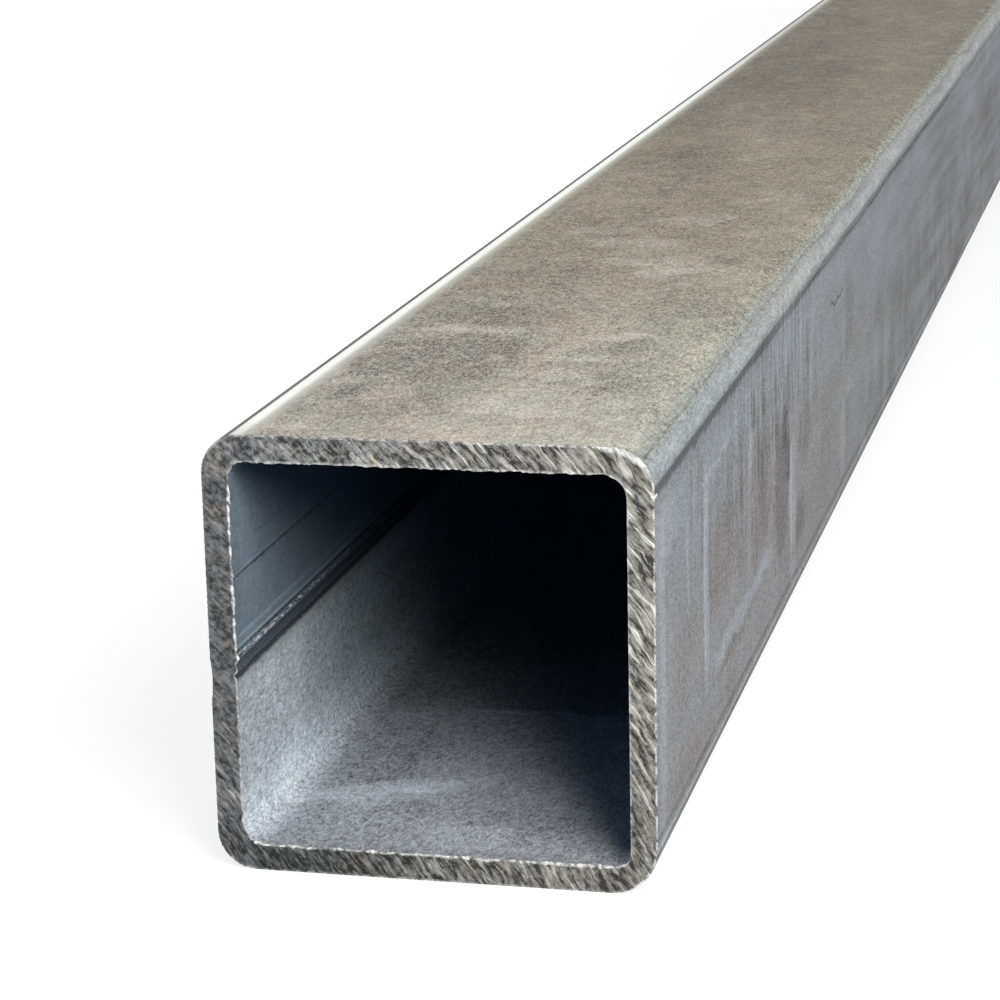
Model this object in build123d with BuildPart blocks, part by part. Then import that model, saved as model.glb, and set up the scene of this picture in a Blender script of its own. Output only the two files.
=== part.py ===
from build123d import *
import os

# A length of square hollow section: one strip of mild steel rolled into a square, closed by a
# longitudinal weld and sawn square at both ends. All sizes are in millimetres.
# The tube lies along Y with its bottom face on Z = 0. Left and right are as seen looking along +Y.

# Section
side = 50.0                      # outside width and height
wall = 3.0                       # strip thickness
tube_length = 1000.0             # cut length

# Corner radii: the forming rolls leave each corner a little different
top_left_outer_radius = 4.5
top_left_inner_radius = 1.3
top_right_outer_radius = 4.6
top_right_inner_radius = 2.7
bottom_right_outer_radius = 5.4
bottom_right_inner_radius = 1.7
bottom_left_outer_radius = 4.4
bottom_left_inner_radius = 2.6

# Weld flash along the inside of the left wall, from the bottom up: the groove that the trimming
# tool leaves, a small lip, the main ridge and a low shoulder
flash_drop = 0.5                 # middle of the flash under the middle of the wall
groove_width = 0.6
groove_depth = 0.25
lip_width = 1.1
lip_height = 0.2
ridge_width = 1.3
ridge_height = 0.35
shoulder_width = 1.5
shoulder_height = 0.12

# Outside, the flash is planed off, which leaves a shallow hollow band along the left wall
scarf_drop = 3.0                 # middle of the band under the middle of the wall
scarf_width = 5.0
scarf_depth = 0.18

# Worked-out sizes, from the middle of the section
half_side = side / 2
half_bore = half_side - wall
flash_bottom = -flash_drop - (groove_width + lip_width + ridge_width + shoulder_width) / 2
flash_top = -flash_drop + (groove_width + lip_width + ridge_width + shoulder_width) / 2
scarf_bottom = -scarf_drop - scarf_width / 2
scarf_top = -scarf_drop + scarf_width / 2

# Bands of the flash from the bottom up: width, and height over the wall (under it for the groove)
flash_bands = [
    (groove_width, -groove_depth),
    (lip_width, lip_height),
    (ridge_width, ridge_height),
    (shoulder_width, shoulder_height),
]

# Corners: which way each lies from the middle, its outer radius and its inner radius
corners = [
    (-1, 1, top_left_outer_radius, top_left_inner_radius),
    (1, 1, top_right_outer_radius, top_right_inner_radius),
    (1, -1, bottom_right_outer_radius, bottom_right_inner_radius),
    (-1, -1, bottom_left_outer_radius, bottom_left_inner_radius),
]

# The section is drawn on the front cut face, X to the right and Z up
cut_face = Plane(origin=(0, -tube_length / 2, half_side), x_dir=(1, 0, 0), z_dir=(0, -1, 0))


def three_walls(reach, left_bottom, left_top):
    """Line round a square from a point of its left wall to another, the way past the right wall."""
    Polyline(
        (-reach, left_top),
        (-reach, reach),
        (reach, reach),
        (reach, -reach),
        (-reach, -reach),
        (-reach, left_bottom),
    )


def crowned_band(reach, bottom, top, height):
    """Arc over a band of the left wall; a height over 0 bulges to the right."""
    ThreePointArc((-reach, bottom), (-reach + height, (bottom + top) / 2), (-reach, top))


def round_corner(profile, reach, across, up, radius):
    """Fillet one corner of a square profile."""
    corner = profile.vertices().sort_by_distance((across * reach, up * reach))[0]
    fillet(corner, radius)


with BuildPart() as square_tube:
    with BuildSketch(cut_face) as outside:
        with BuildLine():
            three_walls(half_side, scarf_bottom, scarf_top)
            crowned_band(half_side, scarf_bottom, scarf_top, scarf_depth)
        make_face()
        for across, up, outer_radius, _ in corners:
            round_corner(outside, half_side, across, up, outer_radius)
    extrude(amount=-tube_length)

    with BuildSketch(cut_face) as inside:
        with BuildLine():
            three_walls(half_bore, flash_bottom, flash_top)
            band_bottom = flash_bottom
            for band_width, band_height in flash_bands:
                crowned_band(half_bore, band_bottom, band_bottom + band_width, band_height)
                band_bottom = band_bottom + band_width
        make_face()
        for across, up, _, inner_radius in corners:
            round_corner(inside, half_bore, across, up, inner_radius)
    extrude(amount=-tube_length, mode=Mode.SUBTRACT)

os.makedirs("parts", exist_ok=True)
square_tube.part.label = "square_tube"
export_step(square_tube.part, "parts/square_tube.step")
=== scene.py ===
import math
from types import SimpleNamespace

import bpy
from mathutils import Matrix, Vector


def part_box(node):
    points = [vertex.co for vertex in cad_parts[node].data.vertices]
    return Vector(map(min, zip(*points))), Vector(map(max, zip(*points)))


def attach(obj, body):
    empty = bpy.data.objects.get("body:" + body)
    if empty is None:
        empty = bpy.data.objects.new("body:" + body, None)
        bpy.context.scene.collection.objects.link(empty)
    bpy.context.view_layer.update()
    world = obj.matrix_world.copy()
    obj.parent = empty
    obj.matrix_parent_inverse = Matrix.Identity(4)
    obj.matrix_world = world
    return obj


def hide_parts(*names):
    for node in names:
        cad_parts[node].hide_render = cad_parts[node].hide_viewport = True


# A length of square steel tube, in one piece: mill finish outside, a weld along the bore,
# and sawn ends with the burr left on.
# Lengths are in metres. The tube lies along Y with its bottom face on the floor.

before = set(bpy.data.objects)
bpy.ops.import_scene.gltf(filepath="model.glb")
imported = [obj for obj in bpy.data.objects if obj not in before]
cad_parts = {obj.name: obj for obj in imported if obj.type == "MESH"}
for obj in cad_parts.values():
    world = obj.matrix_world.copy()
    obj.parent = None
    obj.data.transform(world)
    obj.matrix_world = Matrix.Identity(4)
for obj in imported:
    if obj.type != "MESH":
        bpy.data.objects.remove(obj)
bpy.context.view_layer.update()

NODE = "square_tube"
MM = 0.001

low_corner, high_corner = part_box(NODE)
SIDE = high_corner.z - low_corner.z
LENGTH = high_corner.y - low_corner.y
FRONT = low_corner.y

# Section, as in the solid: corners run round from the one at +X, +Z, towards -X
WALL = 3.0 * MM
OUTER_RADII = (4.6 * MM, 4.5 * MM, 4.4 * MM, 5.4 * MM)
INNER_RADII = (2.7 * MM, 1.3 * MM, 2.6 * MM, 1.7 * MM)

# Weld flash on the inside of the left wall: middle height, width and height of each band
FLASH_BANDS = (
    (22.55 * MM, 0.6 * MM, -0.25 * MM),
    (23.4 * MM, 1.1 * MM, 0.2 * MM),
    (24.6 * MM, 1.3 * MM, 0.35 * MM),
    (26.0 * MM, 1.5 * MM, 0.12 * MM),
)

# Band planed flat over the weld, outside
SCARF_HEIGHT = 22.0 * MM
SCARF_WIDTH = 5.0 * MM
SCARF_DEPTH = 0.18 * MM

# Saw: the blade's middle, across and up from the middle of the section, in millimetres
BLADE_X = -118.0
BLADE_Z = -93.0
BLADE_RADIUS = 167.0

# Divisions of the main mesh: round the section, across a cut face, along the bore and outside.
# Its rings of faces are counted from the outer front edge over a cut, in, over a cut and back.
POINTS_ROUND = 1320
FACE_RINGS = 18
BORE_RINGS = 16
SKIN_RINGS = 14
BORE_ENDS = FACE_RINGS + BORE_RINGS
SKIN_BEGINS = BORE_ENDS + FACE_RINGS
ALL_RINGS = SKIN_BEGINS + SKIN_RINGS

# Divisions of the bead of weld flash: along the tube and round the bead
BEAD_STEPS = 1200
BEAD_POINTS = 7

SEED = 11.0
ORIGIN = (0.0, 0.0, 0.0)


# -------------------------------------------------- node helpers

MIX_SOCKETS = {"FLOAT": (2, 3, 0), "VECTOR": (4, 5, 1), "RGBA": (6, 7, 2)}


def by_name(sockets):
    """A node's sockets by their names in lower case, such as from_lid for "From Lid"."""
    return SimpleNamespace(**{s.name.lower().replace(" ", "_"): s for s in sockets if s.name})


class Wiring:
    """Adds nodes to a tree. An input is a value or another node's output."""

    def __init__(self, tree):
        self.tree = tree

    def add(self, kind, inputs=None, **settings):
        node = self.tree.nodes.new(kind)
        for name, value in settings.items():
            setattr(node, name, value)
        for key, value in (inputs or {}).items():
            self.feed(node.inputs[key], value)
        return node

    def feed(self, socket, value):
        if isinstance(value, bpy.types.NodeSocket):
            self.tree.links.new(value, socket)
        elif socket.type == "RGBA":
            socket.default_value = (*value[:3], 1.0)
        else:
            socket.default_value = value

    def place(self, group, **inputs):
        """A node group, placed with its own values. Underscores stand for spaces in a name."""
        node = self.add(self.tree.bl_idname.replace("Tree", "Group"), node_tree=group)
        for name, value in inputs.items():
            self.feed(node.inputs[name.replace("_", " ")], value)
        return by_name(node.outputs)

    def maths(self, operation, *values, clamp=False):
        node = self.add("ShaderNodeMath", dict(enumerate(values)), operation=operation)
        node.use_clamp = clamp
        return node.outputs[0]

    def vector(self, operation, *values):
        node = self.add("ShaderNodeVectorMath", dict(enumerate(values)), operation=operation)
        return node.outputs["Value" if operation in ("DOT_PRODUCT", "LENGTH") else "Vector"]

    def scale(self, vector, factor):
        node = self.add("ShaderNodeVectorMath", {0: vector}, operation="SCALE")
        self.feed(node.inputs["Scale"], factor)
        return node.outputs["Vector"]

    def combine(self, x=0.0, y=0.0, z=0.0):
        return self.add("ShaderNodeCombineXYZ", {0: x, 1: y, 2: z}).outputs[0]

    def separate(self, vector):
        return self.add("ShaderNodeSeparateXYZ", {0: vector}).outputs

    def mix(self, factor, first, second, kind="FLOAT", overshoot=False):
        a, b, result = MIX_SOCKETS[kind]
        inputs = {0: factor, a: first, b: second}
        node = self.add("ShaderNodeMix", inputs, data_type=kind, clamp_factor=not overshoot)
        return node.outputs[result]

    def blend(self, factor, first, second):
        return self.mix(factor, first, second, "RGBA")

    def plus(self, total, *others):
        for value in others:
            total = self.maths("ADD", total, value)
        return total

    def times(self, product, *others):
        for value in others:
            product = self.maths("MULTIPLY", product, value)
        return product

    def minus(self, first, second):
        return self.maths("SUBTRACT", first, second)

    def over(self, first, second):
        return self.maths("DIVIDE", first, second)

    def scaled(self, value, factor, offset):
        """The value times the factor, plus the offset."""
        return self.maths("MULTIPLY_ADD", value, factor, offset)

    def larger(self, first, second):
        return self.maths("MAXIMUM", first, second)

    def smaller(self, first, second):
        return self.maths("MINIMUM", first, second)

    def above(self, value, limit):
        return self.maths("GREATER_THAN", value, limit)

    def under(self, value, limit):
        return self.maths("LESS_THAN", value, limit)

    def crown(self, value, middle, width):
        """1 at the middle, falling as 1 - r^2 to 0 at the sides of a band."""
        offset = self.over(self.minus(value, middle), width / 2)
        return self.maths("SUBTRACT", 1.0, self.times(offset, offset), clamp=True)

    def span(self, value, start, end, low=0.0, high=1.0):
        """The value's way from start to end, eased, as low to high."""
        node = self.add(
            "ShaderNodeMapRange",
            {"Value": value, "From Min": start, "From Max": end, "To Min": low, "To Max": high},
            interpolation_type="SMOOTHSTEP",
        )
        return node.outputs["Result"]

    def noise(self, vector, detail=2.0, roughness=0.5):
        """Noise from 0 to 1 with features about one unit of the vector across."""
        inputs = {"Vector": vector, "Scale": 1.0, "Detail": detail, "Roughness": roughness}
        return self.add("ShaderNodeTexNoise", inputs).outputs["Fac"]


def new_group(name, kind, inputs):
    """An empty node group with inputs named with their values: its wiring and its inputs' sockets.
    A value that is None stands for a material."""
    group = bpy.data.node_groups.new(name, kind + "NodeTree")
    for label, value in inputs.items():
        socket_kind = {float: "Float", tuple: "Vector"}.get(type(value), "Material")
        socket = group.interface.new_socket(label, in_out="INPUT", socket_type="NodeSocket" + socket_kind)
        if value is not None:
            socket.default_value = value
    w = Wiring(group)
    return w, by_name(w.add("NodeGroupInput").outputs)


def close_group(w, outputs):
    """Ends a group with named outputs, each of its value's own kind."""
    kinds = {"VALUE": "Float", "VECTOR": "Vector", "GEOMETRY": "Geometry"}
    for label, value in outputs.items():
        socket_kind = "NodeSocket" + kinds[value.type]
        w.tree.interface.new_socket(label, in_out="OUTPUT", socket_type=socket_kind)
    end = w.add("NodeGroupOutput")
    for label, value in outputs.items():
        w.feed(end.inputs[label], value)
    return w.tree


def blade_course(w, x, z):
    """Where a place on a cut face lies on the saw's arcs: out from the blade's middle, a little
    unsteady, and along the arc. All in millimetres, x and z from the middle of the section."""
    from_x = w.minus(x, BLADE_X)
    from_z = w.minus(z, BLADE_Z)
    radius = w.vector("LENGTH", w.combine(from_x, from_z, 0.0))
    unsteady = w.noise(w.combine(w.over(x, 9.0), w.over(z, 9.0), SEED), detail=0.0)
    radius = w.scaled(unsteady, 1.6, radius)
    shaken = w.noise(w.combine(w.over(x, 1.4), w.over(z, 1.4), SEED), detail=1.0)
    radius = w.scaled(shaken, 0.5, radius)
    turn = w.times(w.maths("ARCTAN2", from_z, from_x), BLADE_RADIUS)
    return radius, turn


def scored(w, course, width, length, layer, detail=0.0):
    """Noise from 0 to 1 in strokes of this width and length along the saw's arcs."""
    radius, turn = course
    spot = w.combine(w.over(radius, width), w.over(turn, length), SEED + layer)
    return w.noise(spot, detail=detail, roughness=0.5)


def blade_strokes(w, course):
    """The torn strokes that a saw leaves."""
    return scored(w, course, 0.56, 2.4, 0.0, detail=2.0)


def blade_bands(w, course):
    """The broad bands that the strokes lie in."""
    return scored(w, course, 1.3, 4.0, 5.0, detail=1.0)


# -------------------------------------------------- tube shape

SHAPE_INPUTS = {
    "Side": SIDE,
    "Length": LENGTH,
    "Wall": WALL,
    "Saw Mark Depth": 0.05 * MM,
    "Cut Recess": 0.16 * MM,
    "Burr Height": 0.12 * MM,
    "Burr Reach": 0.32 * MM,
    "Edge Chips": 0.09 * MM,
    "Bead Height": 0.54 * MM,
    "Bead Width": 0.68 * MM,
    "Bead Place": 24.8 * MM,
    "Seed": SEED,
    "Skin Finish": None,
    "Bore Finish": None,
    "Cut Finish": None,
}


def unit_grid(w, columns, rows):
    """A sheet of so many faces: its mesh, and each point's share across it and up it."""
    counts = {"Size X": 1.0, "Size Y": 1.0, "Vertices X": columns + 1, "Vertices Y": rows + 1}
    grid = w.add("GeometryNodeMeshGrid", counts)
    across, up, _ = w.separate(grid.outputs["UV Map"])
    return grid.outputs[0], across, up


def section_loop(w, size, radii, points_per_corner=16):
    """A closed square curve in the XZ plane round the origin, each corner with its own radius."""
    square = w.add("GeometryNodeCurvePrimitiveQuadrilateral", {"Width": size, "Height": size})
    index = w.add("GeometryNodeInputIndex").outputs[0]
    radius = w.add("GeometryNodeIndexSwitch", data_type="FLOAT")
    while len(radius.index_switch_items) < len(radii):
        radius.index_switch_items.new()
    w.feed(radius.inputs["Index"], index)
    for number, value in enumerate(radii):
        w.feed(radius.inputs[str(number)], value)
    rounded = w.add(
        "GeometryNodeFilletCurve",
        {"Curve": square.outputs[0], "Count": points_per_corner, "Radius": radius.outputs[0]},
        mode="POLY",
    )
    upright = {"Geometry": rounded.outputs[0], "Rotation": (math.pi / 2, 0.0, 0.0)}
    return w.add("GeometryNodeTransform", upright).outputs[0]


def vector_socket(sockets):
    """The one of a node's "Value" sockets that carries a vector."""
    return [s for s in sockets if s.name == "Value" and s.type == "VECTOR"][0]


def on_loop(w, loop, factor):
    """Place on a closed curve at a share of the way round."""
    settings = {"data_type": "FLOAT_VECTOR", "mode": "FACTOR", "use_all_curves": True}
    sample = w.add("GeometryNodeSampleCurve", {"Curves": loop, "Factor": factor}, **settings)
    w.feed(vector_socket(sample.inputs), w.add("GeometryNodeInputPosition").outputs[0])
    return vector_socket(sample.outputs)


def from_nearer_end(w, share):
    """A share along the tube as 0 at both ends and a half in the middle."""
    return w.smaller(share, w.minus(1.0, share))


def spaced_from_ends(w, share, power):
    """A share along the tube, drawn towards both ends so that steps are finest there."""
    drawn = w.maths("POWER", w.times(from_nearer_end(w, share), 2.0), power)
    drawn = w.times(drawn, 0.5)
    return w.mix(w.above(share, 0.5), drawn, w.minus(1.0, drawn))


def store(w, mesh, name, value, kind="FLOAT", domain="POINT"):
    node = w.add("GeometryNodeStoreNamedAttribute", data_type=kind, domain=domain)
    w.feed(node.inputs["Geometry"], mesh)
    w.feed(node.inputs["Name"], name)
    w.feed([s for s in node.inputs if s.name == "Value" and s.enabled][0], value)
    return node.outputs["Geometry"]


def finished_sheet(w, mesh, position, layout, burr, wall_share, flash, zone):
    """A sheet with its points at their places, its map and the values for the finishes stored,
    and its seams closed. The zone is 1 in the bore, 3 outside, and else 0 or 2."""
    mesh = w.add("GeometryNodeSetPosition", {"Geometry": mesh, "Position": position}).outputs[0]
    mesh = store(w, mesh, "OFBake", layout, "FLOAT2", "CORNER")
    mesh = store(w, mesh, "burr", burr)
    mesh = store(w, mesh, "wall_share", wall_share)
    mesh = store(w, mesh, "flash", flash)
    mesh = store(w, mesh, "zone", zone, "FLOAT", "FACE")
    return w.add("GeometryNodeMergeByDistance", {"Geometry": mesh, "Distance": 1e-6}).outputs[0]


def per_face(w, value):
    return w.add("GeometryNodeFieldOnDomain", {0: value}, data_type="FLOAT", domain="FACE").outputs[0]


def bake_layout(w, ring, around, along, x, z):
    """The tube's own map: cut faces in a bottom strip, then the bore and the two halves of the skin.

    In the bore more room goes to the ends, where it can be seen. The ring is a face's own."""
    back = w.above(per_face(w, along), 0.5)
    in_bore = w.times(w.above(ring, FACE_RINGS), w.under(ring, BORE_ENDS))
    on_skin = w.above(ring, SKIN_BEGINS)

    cut_u = w.scaled(w.over(x, SIDE), 0.48, 0.25)
    cut_u = w.scaled(back, 0.5, cut_u)
    cut_v = w.scaled(w.over(z, SIDE), 0.24, 0.125)
    bore_u = w.scaled(spaced_from_ends(w, along, 0.6), 0.99, 0.005)
    bore_v = w.scaled(around, 0.225, 0.258)
    skin_u = w.scaled(w.minus(along, w.times(back, 0.5)), 1.98, 0.005)
    skin_v = w.scaled(around, 0.248, 0.49)
    skin_v = w.scaled(back, 0.255, skin_v)

    u = w.mix(in_bore, w.mix(on_skin, cut_u, skin_u), bore_u)
    v = w.mix(in_bore, w.mix(on_skin, cut_v, skin_v), bore_v)
    return w.combine(u, v, 0.0)


def burr_share(w, x, z):
    """How much burr each side's inner edge carries. x and z in millimetres from the middle."""
    above_weld = w.span(z, -2.8, -1.6)
    left = w.times(w.span(x, -21.2, -21.9), w.scaled(above_weld, 0.55, 0.25))
    bottom = w.times(w.span(z, -21.0, -21.9), 0.8)
    top = w.times(w.span(z, 21.0, 21.9), 0.5)
    top_left = w.span(w.minus(z, x), 42.6, 43.4, 0.0, 0.7)
    return w.plus(left, bottom, top, top_left, 0.05)


def tube_body(w, given):
    """The whole tube as one closed skin: out, over a cut face, through the bore and back."""
    grid, around, ring_share = unit_grid(w, POINTS_ROUND, ALL_RINGS)
    ring = w.times(ring_share, ALL_RINGS)

    # Across the wall: 0 on the outside, 1 in the bore, a little finer near both edges
    going_in = w.maths("DIVIDE", ring, FACE_RINGS, clamp=True)
    going_out = w.maths("DIVIDE", w.minus(SKIN_BEGINS, ring), FACE_RINGS, clamp=True)
    across = w.smaller(going_in, going_out)
    across = w.mix(0.4, across, w.span(across, 0.0, 1.0))

    # Along the tube: 0 at the front, 1 at the back
    inward = w.maths("DIVIDE", w.minus(ring, FACE_RINGS), BORE_RINGS, clamp=True)
    outward = w.maths("DIVIDE", w.minus(ALL_RINGS, ring), SKIN_RINGS, clamp=True)
    along = spaced_from_ends(w, w.smaller(inward, outward), 5.0)
    depth = w.times(from_nearer_end(w, along), w.over(given.length, MM))

    half_side = w.times(given.side, 0.5)
    wall_mm = w.over(given.wall, MM)
    bore_side = w.minus(given.side, w.times(given.wall, 2.0))
    outer = on_loop(w, section_loop(w, given.side, OUTER_RADII), around)
    inner = on_loop(w, section_loop(w, bore_side, INNER_RADII), around)

    # Burr: the inner edge wanders, and stands raggedly into the bore and out of the cut face
    inner_x, _, inner_z = w.separate(w.scale(inner, 1 / MM))
    edge = w.times(w.minus(1.0, across), wall_mm)
    round_edge = w.combine(inner_x, w.times(along, 40.0), inner_z)
    width = w.scaled(w.noise(w.scale(round_edge, 0.6), detail=1.0), 0.7, 0.05)
    near_edge = w.times(w.span(edge, width, 0.05), w.span(depth, 0.45, 0.05))
    teeth = w.span(w.noise(w.scale(round_edge, 1.9), detail=1.0, roughness=0.6), 0.35, 0.62)
    lumps = w.span(w.noise(w.scale(round_edge, 0.9), detail=1.0), 0.35, 0.62, 0.25, 1.0)
    wander = w.minus(w.noise(w.scale(round_edge, 0.4), detail=1.0), 0.5)
    carried = w.times(burr_share(w, inner_x, inner_z), near_edge)
    burr = w.times(carried, lumps, w.scaled(teeth, 0.6, 0.4))
    reach = w.scaled(wander, w.times(carried, 1.6), burr)
    reach = w.times(reach, w.over(given.burr_reach, given.wall))

    # The outer edge is a little chipped too
    outer_x, _, outer_z = w.separate(w.scale(outer, 1 / MM))
    chips = w.noise(w.scale(w.combine(outer_x, 0.0, outer_z), 4.0), detail=1.0, roughness=0.6)
    at_edge = w.times(w.span(w.minus(wall_mm, edge), 0.3, 0.0), w.span(depth, 0.3, 0.0))
    chips = w.times(w.span(chips, 0.4, 0.75), at_edge, w.over(given.edge_chips, given.wall))
    reach = w.plus(across, w.plus(reach, chips))
    section = w.mix(reach, outer, inner, "VECTOR", overshoot=True)
    x, _, z = w.separate(section)

    # Flash in the bore and the planed band outside, both on the left wall
    height = w.plus(z, half_side)
    on_left = w.under(x, w.scaled(given.wall, 1.5, w.times(half_side, -1.0)))
    flash = w.plus(*[w.times(w.crown(height, m, b), h) for m, b, h in FLASH_BANDS])
    scarf = w.times(w.crown(height, SCARF_HEIGHT, SCARF_WIDTH), SCARF_DEPTH)
    relief = w.mix(across, scarf, flash)
    x = w.scaled(relief, on_left, x)

    # Cut face: behind the ends by the recess, with saw marks on it and edges a little rounded
    course = blade_course(w, w.over(x, MM), w.over(z, MM))
    marks = w.plus(blade_strokes(w, course), blade_bands(w, course), -1.0)
    marks = w.times(marks, given.saw_mark_depth, 2.0)
    rim = w.span(w.times(across, wall_mm), 0.0, 0.25, 0.06 * MM, 0.0)
    sunk = w.plus(given.cut_recess, marks, rim, w.times(burr, given.burr_height, -1.0))
    sunk = w.times(sunk, w.span(depth, 0.08, 0.0))
    inwards = w.mix(w.above(along, 0.5), sunk, w.times(sunk, -1.0))
    y = w.scaled(along, given.length, w.times(given.length, -0.5))
    position = w.combine(x, w.plus(y, inwards), height)

    face_ring = per_face(w, ring)
    layout = bake_layout(w, face_ring, around, along, x, z)
    starts = (FACE_RINGS, BORE_ENDS, SKIN_BEGINS)
    zone = w.plus(*[w.above(face_ring, start) for start in starts])
    return finished_sheet(w, grid, position, layout, burr, across, 0.0, zone)


def weld_bead(w, given):
    """The ragged bead of weld metal along the bore, sunk halfway in the left wall."""
    grid, share, turn = unit_grid(w, BEAD_STEPS, BEAD_POINTS)
    along = spaced_from_ends(w, share, 1.5)
    run_length = w.minus(given.length, w.times(given.cut_recess, 3.0))
    y = w.times(w.minus(along, 0.5), run_length)
    run = w.times(y, 1 / MM)
    ruffled = w.combine(w.times(run, 0.9), w.times(turn, 2.0), given.seed)
    lumps = w.noise(ruffled, detail=3.0, roughness=0.65)
    sway = w.noise(w.combine(w.times(run, 0.15), given.seed, 0.0), detail=2.0)
    tapered = w.span(from_nearer_end(w, share), 0.0, 0.0005)
    swell = w.times(w.span(lumps, 0.3, 0.7, 0.45, 1.15), tapered)
    angle = w.times(turn, 2 * math.pi)
    out = w.times(w.maths("COSINE", angle), given.bead_height, swell)
    rise = w.times(w.maths("SINE", angle), given.bead_width, 0.5, swell)
    x = w.plus(w.minus(given.wall, w.times(given.side, 0.5)), out)
    z = w.plus(given.bead_place, rise, w.times(w.minus(sway, 0.5), 0.25 * MM))
    layout = w.combine(w.scaled(share, 0.99, 0.005), w.scaled(turn, 0.005, 0.484), 0.0)
    return finished_sheet(w, grid, w.combine(x, y, z), layout, 0.0, 1.0, 1.0, 1.0)


def build_tube_shape():
    w, given = new_group("square_tube_shape", "Geometry", SHAPE_INPUTS)
    joined = w.add("GeometryNodeJoinGeometry")
    w.feed(joined.inputs[0], tube_body(w, given))
    w.feed(joined.inputs[0], weld_bead(w, given))
    smooth = {"Geometry": joined.outputs[0], "Shade Smooth": True}
    mesh = w.add("GeometryNodeSetShadeSmooth", smooth).outputs[0]
    angle = w.add("GeometryNodeInputMeshEdgeAngle").outputs["Unsigned Angle"]
    sharp = {"Geometry": mesh, "Selection": w.above(angle, math.radians(50.0)), "Shade Smooth": False}
    mesh = w.add("GeometryNodeSetShadeSmooth", sharp, domain="EDGE").outputs[0]
    mesh = w.add("GeometryNodeRealizeInstances", {"Geometry": mesh}).outputs[0]
    zone = w.add("GeometryNodeInputNamedAttribute", {"Name": "zone"}, data_type="FLOAT")
    zone = [s for s in zone.outputs if s.name == "Attribute" and s.enabled][0]
    mesh = w.add("GeometryNodeSetMaterial", {"Geometry": mesh, "Material": given.cut_finish}).outputs[0]
    for number, finish in ((1.0, given.bore_finish), (3.0, given.skin_finish)):
        here = w.maths("COMPARE", zone, number, 0.1)
        worn = {"Geometry": mesh, "Selection": here, "Material": finish}
        mesh = w.add("GeometryNodeSetMaterial", worn).outputs[0]
    return close_group(w, {"Geometry": mesh})


def as_piece(name, group, values):
    """The group's result as a plain mesh, with its inputs set by their identifiers."""
    maker = bpy.data.objects.new(name + "_maker", bpy.data.meshes.new(name + "_maker"))
    bpy.context.scene.collection.objects.link(maker)
    modifier = maker.modifiers.new("shape", "NODES")
    modifier.node_group = group
    for socket in group.interface.items_tree:
        if socket.in_out == "INPUT" and socket.name in values:
            modifier[socket.identifier] = values[socket.name]
    depsgraph = bpy.context.evaluated_depsgraph_get()
    mesh = bpy.data.meshes.new_from_object(
        maker.evaluated_get(depsgraph), preserve_all_data_layers=True, depsgraph=depsgraph
    )
    mesh.name = name
    if mesh.materials and mesh.materials[0] is None:
        mesh.materials.pop(index=0)
    bpy.data.objects.remove(maker)
    piece = bpy.data.objects.new(name, mesh)
    bpy.context.scene.collection.objects.link(piece)
    return piece


# -------------------------------------------------- shared effects

def shade(*display):
    """A colour written as 0 to 255 display values, as the linear colour a socket takes."""
    return tuple(v / 255 / 12.92 if v <= 10 else ((v / 255 + 0.055) / 1.055) ** 2.4 for v in display)


def clouds(w, place, size, shift, cover=0.5):
    """Soft clouds over a place: their tone, and the mask of so thick a cover. Each shift gives
    clouds of their own."""
    return w.place(CLOUD, Place=place, Size=size, Shift=(shift, shift, shift), Cover=cover)


def cloud_tone(w, at, size, shift):
    return clouds(w, at.place, size, shift).tone


def tube_place_group():
    """Where a point lies on the tube, in millimetres: from the middle of the section, from the
    front cut, from the nearer cut, and down from the nearer lid, the top or the bottom face.
    With it go noises that many effects share: two sways to and fro, and where roll lines are
    whole, 1, or worn through, 0."""
    w, _ = new_group("tube_place", "Shader", {})
    spot = w.add("ShaderNodeTexCoord").outputs["Object"]
    spot = w.scale(w.vector("SUBTRACT", spot, (0.0, FRONT, SIDE / 2)), 1 / MM)
    x, y, z = w.separate(spot)
    whole = w.noise(w.vector("DIVIDE", spot, (1.2, 7.0, 1.2)), detail=3.0, roughness=0.7)
    values = {
        "Place": spot,
        "Across": x,
        "Along": y,
        "Up": z,
        "From Lid": w.minus(SIDE / 2 / MM, w.maths("ABSOLUTE", z)),
        "From End": w.smaller(y, w.minus(LENGTH / MM, y)),
        "Sway": clouds(w, spot, (7.0, 7.0, 7.0), 43.0).tone,
        "Swerve": clouds(w, spot, (7.0, 7.0, 7.0), 47.0).tone,
        "Whole": w.span(whole, 0.38, 0.58),
    }
    return close_group(w, values)


def brightened(w, colour, amount):
    """The colour times 1 + amount."""
    return w.scale(colour, w.larger(w.plus(1.0, amount), 0.05))


def weighted(w, *pairs):
    """The sum of values, each times its weight."""
    total = 0.0
    for value, weight in pairs:
        total = w.scaled(value, weight, total)
    return total


def grain_group():
    """Speckle of a rolled, oxidised surface, 0 in the middle and about 1 at most. It is in three
    layers, and the finer the layer, the more the rolls have drawn it out along the tube."""
    w, given = new_group("steel_grain", "Shader", {"Place": ORIGIN, "Size": 0.3, "Drawn": 1.0})
    layers = []
    for growth, drawn, weight in ((1.0, 3.6, 3.3), (2.2, 3.0, 2.0), (5.0, 1.8, 1.1)):
        size = w.combine(growth, w.times(given.drawn, growth * drawn), growth)
        size = w.scale(size, given.size)
        layer = w.noise(w.vector("DIVIDE", given.place, size), detail=1.0, roughness=0.6)
        layers.append((w.minus(layer, 0.5), weight))
    return close_group(w, {"Speckle": weighted(w, *layers)})


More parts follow.
